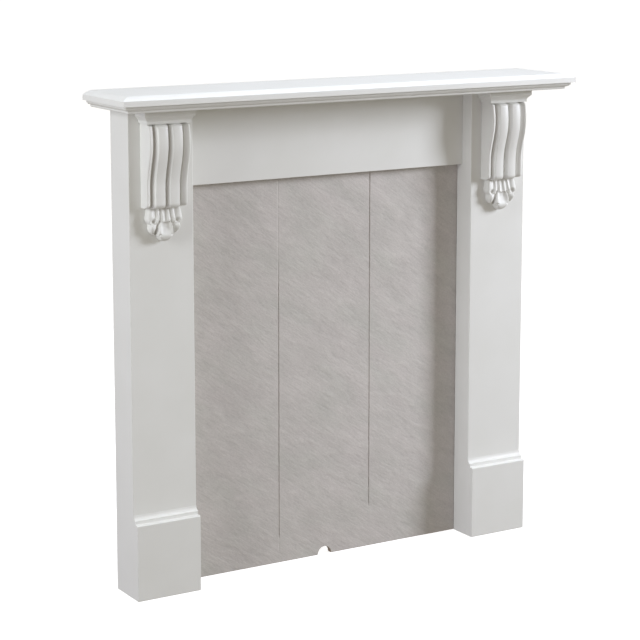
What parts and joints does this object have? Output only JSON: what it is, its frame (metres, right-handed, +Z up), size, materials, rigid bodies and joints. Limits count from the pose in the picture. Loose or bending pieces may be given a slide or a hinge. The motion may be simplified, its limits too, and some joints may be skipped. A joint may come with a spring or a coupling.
{
  "type": "fireplace mantelpiece",
  "caption": "Free-standing white painted fire surround: moulded shelf on box legs with scrolled corbels and plinths, round a grooved stone-effect back panel.",
  "frame": {"origin": "on the floor, under the middle of the shelf, half way between its front edge and the wall", "axes": "+X to the right along the shelf, seen from the front; +Y back to the wall; +Z up"},
  "size_m": [1.22, 0.21, 1.164],
  "materials": {
    "white_paint": "satin off-white paint on fibreboard",
    "stone_effect": "matt grey riven-stone effect on fibreboard"
  },
  "bodies": {
    "root": {"mantel_shelf": "white_paint", "bed_mould_board": "white_paint", "frieze_board": "white_paint", "leg_left": "white_paint", "leg_right": "white_paint", "plinth_left": "white_paint", "plinth_right": "white_paint", "corbel_left": "white_paint", "corbel_right": "white_paint", "back_panel": "stone_effect"}
  },
  "joints": []
}
